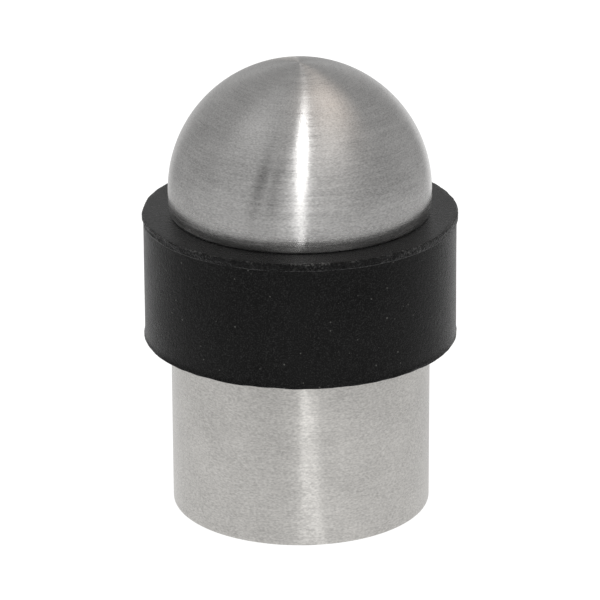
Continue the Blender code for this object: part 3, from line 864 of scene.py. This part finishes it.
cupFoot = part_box("cup_washer")[0].z
cupLip = cupSpec["hole"] + cupSpec["height"] - cupSpec["wall"]
cupWall = cupSpec["wall"]
cupCorners = np.array([
    (cupLip, cupSpec["height"]),
    (cupLip + cupWall, cupSpec["height"]),
    (cupSpec["radius"], cupWall),
    (cupSpec["radius"], 0),
    (cupSpec["radius"] - cupWall, 0),
    (cupLip + cupWall / 4, cupSpec["height"] - 1.6 * cupWall),
    (cupSpec["hole"] + cupWall / 4, 0),
    (cupSpec["hole"], cupWall / 4),
    (cupSpec["hole"], cupWall),
]) + (0, cupFoot)
cupRadii = np.array([0.12, 0.15, 0.4, 0.1, 0.1, 0.2, 0.03, 0.03, 0.1]) * mm
cup = turnedPiece("cupWasher", roundedOutline(cupCorners, cupRadii, [0.3 * mm] * 9), cupSpec["steps"])
install(cup, screwSteel, "screw_carrier", "cup_washer")
print("screw and cup made,", len(screw.data.polygons), "and", len(cup.data.polygons), "faces")


studio = {
    "floorSize": 4.0,
    "floorGlow": 0.93,
    "floorColour": (0.3, 0.3, 0.3),
    "tableReach": (0.10, 0.30),  # the lit table's brightness falls off between these distances
    "tableLevel": 0.84,
    "roomLevel": 0.42,
    "roomFront": 0.16,  # extra light from the front
    "roomBack": 0.08,  # and from the white wall behind
    "roomFrontFade": (-0.3, -0.95),  # each fades in between these values of its direction's y
    "roomBackFade": (0.75, 1.0),
    "floorBack": 0.42,  # extra light from the floor behind
    "floorBackFade": (0.75, 0.97),
    "floorBackReach": (0.10, 0.20),  # and between these distances
    # broad soft glows in the room: azimuth and elevation in degrees, half width, half height, strength
    # and colour
    "glows": [
        (-78, 53, 0.48, 0.44, 0.40, (1, 1, 1)),
        (-40, 45, 0.36, 0.36, 0.24, (1, 1, 1)),
        (-104, 82, 0.26, 0.22, 0.32, (1, 1, 1)),
        (38, 50, 0.52, 0.47, 0.72, (1, 0.97, 0.94)),
        (120, 68, 0.50, 0.37, 1.12, (1, 0.86, 0.75)),
    ],
    # the strip lights' reflections in the table: azimuth, offset from the axis, half width at the sleeve and
    # its growth with distance, strength, the distances where each begins and ends, and where its left side
    # fades in, in half widths
    "sheens": [
        (10.0, -0.2 * mm, 0.9 * mm, 0.07, 0.24, 0.0, 0.10, -1.4, -0.5),
        (2.2, 0.0, 1.0 * mm, 0.045, 2.20, 0.12, 3.0, -1.15, -0.75),
    ],
    "sheenStart": 19 * mm,  # the sleeve's radius, where a sheen has its half width
    "sheenRight": (1.15, 0.75),  # where the right side fades in, in half widths
    "sheenEnd": 10 * mm,  # length of the fade at a sheen's two ends
    # dark light stands, which lean: azimuth, half width and height of the foot, then of the top
    "stands": [(-38.5, 0.036, 0.085, -32.5, 0.020, 0.34), (-21.5, 0.032, 0.08, -22.5, 0.019, 0.235)],
    "standDistance": 0.35,
}
# strip lights that face the object: azimuth and elevation in degrees, distance, size and power
strips = {
    "upperStrip": (3.6, 50, 0.8, (0.054, 0.72), 1.18),
    "lowerStrip": (1.0, 12, 0.8, (0.026, 0.27), 0.11),
}


# direction from the object, for an azimuth from the front and an elevation
def towards(azimuth, elevation):
    a, e = math.radians(azimuth), math.radians(elevation)
    return Vector((math.sin(a) * math.cos(e), -math.cos(a) * math.cos(e), math.sin(e)))


# pale floor: the camera sees it white with a faint contact shadow, and the metal sees a lit table that
# is white round the object and falls off to the room's grey
def makeFloor(spec):
    half = spec["floorSize"] / 2
    floor = flatPiece("floor", [(-half, -half, 0), (half, -half, 0), (half, half, 0), (-half, half, 0)])
    board = NodeBoard("paleFloor", spec["floorColour"], 0.9, 0)
    board.set(board.shader, "Emission Color", (1, 1, 1, 1))
    board.set(board.shader, "Emission Strength", spec["floorGlow"])
    board.set(board.shader, "Specular IOR Level", 0)
    away = board.add("VectorMath", operation="LENGTH")
    board.join(board.place(), away)
    near, far = spec["tableReach"]
    level = board.ramp(away.outputs["Value"], near, far, spec["tableLevel"], spec["roomLevel"])
    x, y, z = board.split(board.place())
    behind = board.ramp(board.maths("DIVIDE", y, away.outputs["Value"]), *spec["floorBackFade"])
    farOff = board.ramp(away.outputs["Value"], *spec["floorBackReach"], 0.0, spec["floorBack"])
    level = board.maths("ADD", level, board.maths("MULTIPLY", behind, farOff))
    for azimuth, offset, halfWidth, growth, strength, begin, end, fadeFrom, fadeTo in spec["sheens"]:
        sine, cosine = math.sin(math.radians(azimuth)), math.cos(math.radians(azimuth))
        along = board.maths("SUBTRACT", board.maths("MULTIPLY", x, sine), board.maths("MULTIPLY", y, cosine))
        off = board.maths("ADD", board.maths("MULTIPLY", x, cosine), board.maths("MULTIPLY", y, sine))
        ahead = board.maths("MAXIMUM", board.maths("SUBTRACT", along, spec["sheenStart"]), 0)
        half = board.maths("ADD", board.maths("MULTIPLY", ahead, growth), halfWidth)
        across = board.maths("DIVIDE", board.maths("SUBTRACT", off, offset), half)
        left = board.ramp(across, fadeFrom, fadeTo)
        sides = board.maths("MULTIPLY", left, board.ramp(across, *spec["sheenRight"]))
        nearEnd = board.ramp(along, begin, begin + spec["sheenEnd"])
        farEnd = board.ramp(along, end, end - spec["sheenEnd"])
        ends = board.maths("MULTIPLY", nearEnd, farEnd)
        sheen = board.maths("MULTIPLY", board.maths("MULTIPLY", sides, ends), strength)
        level = board.maths("ADD", level, sheen)
    glow = board.add("Emission")
    board.join(level, glow, "Strength")
    choose = board.add("MixShader")
    board.join(board.add("LightPath").outputs["Is Camera Ray"], choose, 0)
    board.join(glow.outputs[0], choose, 1)
    board.join(board.shader.outputs[0], choose, 2)
    board.join(choose.outputs[0], board.tree.nodes["Material Output"])
    floor.data.materials.append(board.material)
    floor.location.z = -0.2 * mm


# room light: an even grey, lifted to the front and behind, with soft glows in it; the camera sees white
def makeRoom(spec):
    world = bpy.data.worlds.new("room")
    bpy.context.scene.world = world
    world.use_nodes = True
    tree = world.node_tree
    nodes, links = tree.nodes, tree.links

    def add(kind, **settings):
        node = nodes.new("ShaderNode" + kind)
        for key, value in settings.items():
            setattr(node, key, value)
        return node

    def ramp(value, low, high, toLow, toHigh):
        node = add("MapRange", interpolation_type="SMOOTHSTEP")
        links.new(value, node.inputs[0])
        for socket, number in enumerate((low, high, toLow, toHigh), 1):
            node.inputs[socket].default_value = number
        return node.outputs[0]

    def vector(operation, first, second):
        node = add("VectorMath", operation=operation)
        links.new(first, node.inputs[0])
        if isinstance(second, bpy.types.NodeSocket):
            links.new(second, node.inputs[1])
        else:
            node.inputs[1].default_value = second
        return node.outputs[0]

    direction = add("TexCoord").outputs["Generated"]

    # distance from a spot's middle, 1 at its edge
    def spotDistance(azimuth, elevation, halfWidth, halfHeight):
        off = vector("SUBTRACT", direction, towards(azimuth, elevation))
        size = add("VectorMath", operation="LENGTH")
        links.new(vector("MULTIPLY", off, (1 / halfWidth, 1 / halfWidth, 1 / halfHeight)), size.inputs[0])
        return size.outputs["Value"]

    split = add("SeparateXYZ")
    links.new(direction, split.inputs[0])
    brightFront = spec["roomLevel"] + spec["roomFront"]
    front = ramp(split.outputs[1], *spec["roomFrontFade"], spec["roomLevel"], brightFront)
    back = ramp(split.outputs[1], *spec["roomBackFade"], 0.0, spec["roomBack"])
    level = vector("ADD", front, back)
    for azimuth, elevation, halfWidth, halfHeight, strength, colour in spec["glows"]:
        share = ramp(spotDistance(azimuth, elevation, halfWidth, halfHeight), 1.0, 0.0, 0.0, strength)
        level = vector("ADD", level, vector("MULTIPLY", share, colour))
    room = nodes["Background"]
    links.new(level, room.inputs["Color"])
    white = add("Background")
    white.inputs["Color"].default_value = (1, 1, 1, 1)
    choose = add("MixShader")
    links.new(add("LightPath").outputs["Is Camera Ray"], choose.inputs[0])
    links.new(room.outputs[0], choose.inputs[1])
    links.new(white.outputs[0], choose.inputs[2])
    links.new(choose.outputs[0], nodes["World Output"].inputs[0])


# thin dark light stands, seen only in the metal's reflections
def makeStands(spec):
    board = NodeBoard("standBlack", (0.02, 0.02, 0.02), 0.8, 0)
    for number, measures in enumerate(spec["stands"]):
        footAzimuth, footHalf, footHeight, topAzimuth, topHalf, topHeight = measures
        foot = towards(footAzimuth, 0) * spec["standDistance"]
        top = towards(topAzimuth, 0) * spec["standDistance"]
        side = Vector((-foot.y, foot.x, 0)).normalized()
        foot.z, top.z = footHeight, topHeight
        footLeft, footRight = foot - side * footHalf, foot + side * footHalf
        topLeft, topRight = top - side * topHalf, top + side * topHalf
        stand = flatPiece("stand" + str(number + 1), [footLeft, footRight, topRight, topLeft])
        stand.data.materials.append(board.material)
        stand.visible_camera = False
        stand.visible_shadow = False


# a soft box that faces the object's middle
def softBox(name, azimuth, elevation, distance, size, power):
    light = bpy.data.lights.new(name, "AREA")
    light.shape = "RECTANGLE"
    light.size, light.size_y = size
    light.energy = power
    outward = towards(azimuth, elevation)
    box = bpy.data.objects.new(name, light)
    box.location = Vector((0, 0, cadHigh.z / 2)) + outward * distance
    box.rotation_mode = "QUATERNION"
    box.rotation_quaternion = (-outward).to_track_quat("-Z", "Y")
    box.visible_camera = False
    bpy.context.scene.collection.objects.link(box)


makeFloor(studio)
makeRoom(studio)
makeStands(studio)
for stripName, stripSpec in strips.items():
    softBox(stripName, *stripSpec)
bpy.context.scene.view_settings.view_transform = "Standard"
print("studio lit")


cameraSpec = {
    "pivotHeight": 0.0285,
    "aimHeight": 0.03088,
    "aimSide": -0.00005,
    "distance": 0.59758,
    "elevation": 21.122,  # degrees
    "lens": 244.4255,
    "roll": -0.00463,  # radians
    "sensor": 36,
    "clip": (0.01, 20),
}


# a long lens that looks down at the object's middle from the front
def makeCamera(spec):
    rise = math.radians(spec["elevation"])
    pivot = Vector((0, 0, spec["pivotHeight"]))
    place = pivot + spec["distance"] * Vector((0, -math.cos(rise), math.sin(rise)))
    aim = Vector((spec["aimSide"], 0, spec["aimHeight"])) - place
    lensData = bpy.data.cameras.new("camera")
    lensData.lens = spec["lens"]
    lensData.sensor_width = spec["sensor"]
    lensData.clip_start, lensData.clip_end = spec["clip"]
    camera = bpy.data.objects.new("camera", lensData)
    turn = aim.to_track_quat("-Z", "Y").to_matrix().to_4x4()
    camera.matrix_world = Matrix.Translation(place) @ turn @ Matrix.Rotation(spec["roll"], 4, "Z")
    bpy.context.scene.collection.objects.link(camera)
    bpy.context.scene.camera = camera


makeCamera(cameraSpec)
print("camera set")
